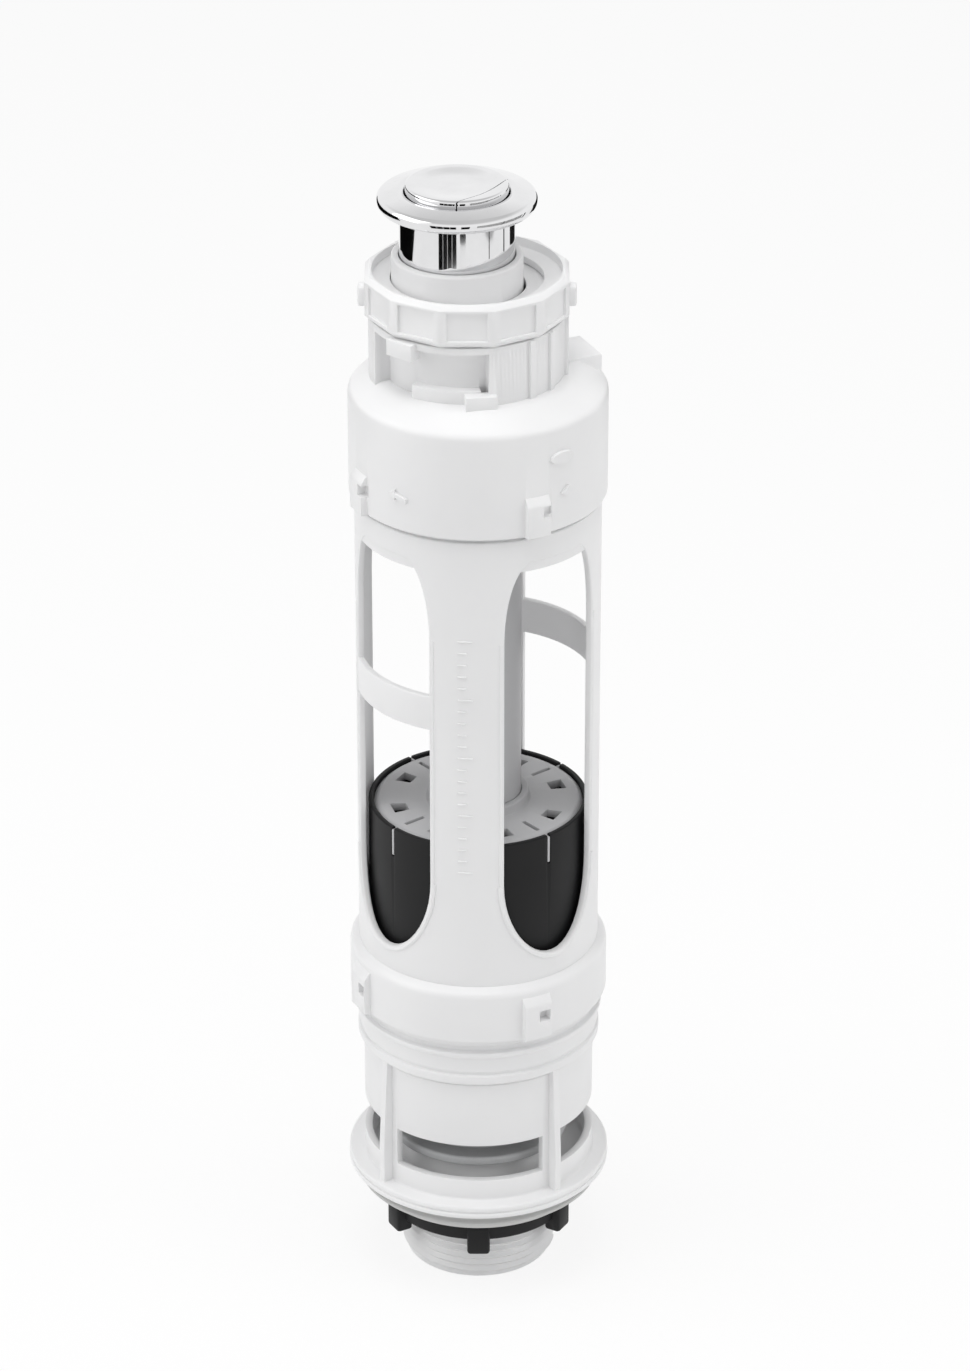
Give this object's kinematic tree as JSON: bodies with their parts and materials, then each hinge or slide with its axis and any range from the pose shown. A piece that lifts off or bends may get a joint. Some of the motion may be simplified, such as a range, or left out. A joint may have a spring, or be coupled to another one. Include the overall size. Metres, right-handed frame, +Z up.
{
  "type": "toilet flush valve",
  "caption": "Dual-flush cistern valve: a chrome two-part push button works rockers that lift an overflow tube, seal and float inside an open cage on a threaded outlet",
  "frame": {"origin": "centre of the threaded tail's lower end, on the axis of the shaft", "axes": "+Z up along the shaft, -Y towards the front with the plain column, +X to the right"},
  "size_m": [0.08, 0.08, 0.3537],
  "materials": {
    "white_plastic": "white moulded plastic, satin",
    "grey_plastic": "light grey moulded plastic",
    "black_plastic": "black moulded plastic",
    "grey_rubber": "soft grey rubber",
    "washer_rubber": "pale soft rubber",
    "chrome": "mirror-bright plating",
    "steel": "bright spring steel"
  },
  "bodies": {
    "base": {"base_body": "white_plastic", "sealing_washer": "washer_rubber"},
    "back_nut": {"back_nut": "black_plastic"},
    "cage": {"cage": "white_plastic", "tube_guide": "white_plastic"},
    "cap": {"cap": "white_plastic", "neck": "white_plastic", "chrome_sleeve": "chrome", "button_guide": "white_plastic", "rocker_frame": "white_plastic", "full_rocker_pin": "steel", "half_rocker_pin": "steel", "full_spring": "steel", "half_spring": "steel"},
    "clamp_nut": {"clamp_nut": "white_plastic"},
    "full_button": {"full_button": "chrome", "full_push_rod": "white_plastic"},
    "half_button": {"half_button": "chrome", "half_push_rod": "white_plastic"},
    "full_rocker": {"full_rocker": "white_plastic"},
    "half_rocker": {"half_rocker": "white_plastic"},
    "valve": {"overflow_tube": "grey_plastic", "seat_seal": "grey_rubber", "seal_retainer": "grey_plastic", "lift_crown": "white_plastic"},
    "float": {"float_body": "black_plastic", "float_cap": "grey_plastic"}
  },
  "joints": [
    {"name": "back_nut_turn", "type": "hinge", "parent": "base", "child": "back_nut", "pos_m": [0, 0, 0.02], "axis": [0, 0, 1], "continuous": true},
    {"name": "cage_bayonet", "type": "hinge", "parent": "base", "child": "cage", "pos_m": [0, 0, 0.1], "axis": [0, 0, 1], "range_deg": [0, 12]},
    {"name": "cap_bayonet", "type": "hinge", "parent": "cage", "child": "cap", "pos_m": [0, 0, 0.259], "axis": [0, 0, 1], "range_deg": [0, 12]},
    {"name": "clamp_nut_turn", "type": "hinge", "parent": "cap", "child": "clamp_nut", "pos_m": [-0.00315, 0, 0.32125], "axis": [0, 0, 1], "continuous": true},
    {"name": "full_press", "type": "slide", "parent": "cap", "child": "full_button", "axis": [0, 0, -1], "range_m": [0, 0.007], "stiffness_N_per_m": 500, "springref_m": -0.004, "deforming": ["full_spring"]},
    {"name": "half_press", "type": "slide", "parent": "cap", "child": "half_button", "axis": [0, 0, -1], "range_m": [0, 0.004], "stiffness_N_per_m": 500, "springref_m": -0.004, "deforming": ["half_spring"]},
    {"name": "full_rocker_turn", "type": "hinge", "parent": "cap", "child": "full_rocker", "pos_m": [-0.00904, 0.01447, 0.28279], "axis": [0.848, 0.5299, 0], "range_deg": [0, 43.8]},
    {"name": "half_rocker_turn", "type": "hinge", "parent": "cap", "child": "half_rocker", "pos_m": [0.00904, -0.01447, 0.27781], "axis": [-0.848, -0.5299, 0], "range_deg": [0, 25]},
    {"name": "valve_lift", "type": "slide", "parent": "base", "child": "valve", "axis": [0, 0, 1], "range_m": [0, 0.0082]},
    {"name": "float_height", "type": "slide", "parent": "valve", "child": "float", "axis": [0, 0, 1], "range_m": [-0.012, 0.03]}
  ],
  "couplings": [
    {"joint": "full_rocker_turn", "follows": "full_press", "rad_per_m": 109.01},
    {"joint": "half_rocker_turn", "follows": "half_press", "rad_per_m": 108.69},
    {"joint": "valve_lift", "follows": "full_press", "ratio": 1.17}
  ]
}
